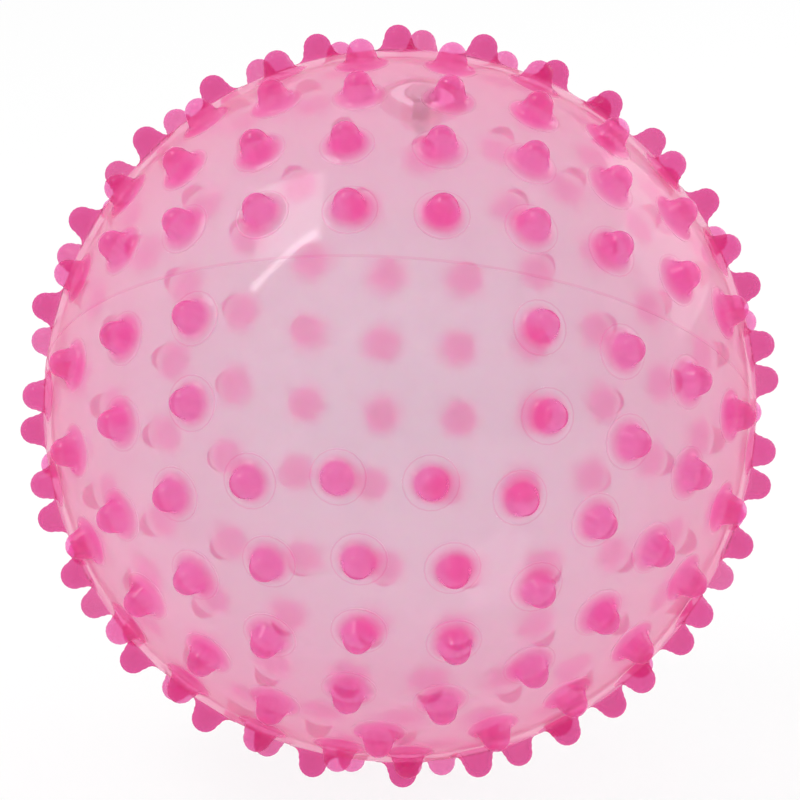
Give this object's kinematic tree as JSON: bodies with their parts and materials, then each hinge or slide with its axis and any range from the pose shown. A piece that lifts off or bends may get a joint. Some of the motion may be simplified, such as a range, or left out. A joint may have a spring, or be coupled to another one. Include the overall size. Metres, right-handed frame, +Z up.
{
  "type": "sensory ball",
  "caption": "Inflatable baby's ball of translucent soft PVC, covered all over in rings of round-ended nubs, with a bare stretch at the front and a pull-out air plug.",
  "frame": {"origin": "the centre of the ball", "axes": "+Z up as the ball stands on three of its nubs, -Y towards the bare stretch that the picture shows; the axis of the mould, with the air plug on it, leans back from +Z towards +Y by 36 degrees"},
  "size_m": [0.1995, 0.1994, 0.1986],
  "materials": {
    "soft_pvc": "translucent pink soft PVC, glossy",
    "seat_pvc": "thicker translucent pink PVC, satin",
    "plug_plastic": "white moulded plastic"
  },
  "bodies": {
    "ball": {"ball_skin": "soft_pvc", "valve_seat": "seat_pvc"},
    "plug": {"valve_plug": "plug_plastic"}
  },
  "joints": [
    {"name": "plug_pull", "type": "slide", "parent": "ball", "child": "plug", "axis": [0.0673, 0.5779, 0.8133], "range_m": [0, 0.03]}
  ]
}
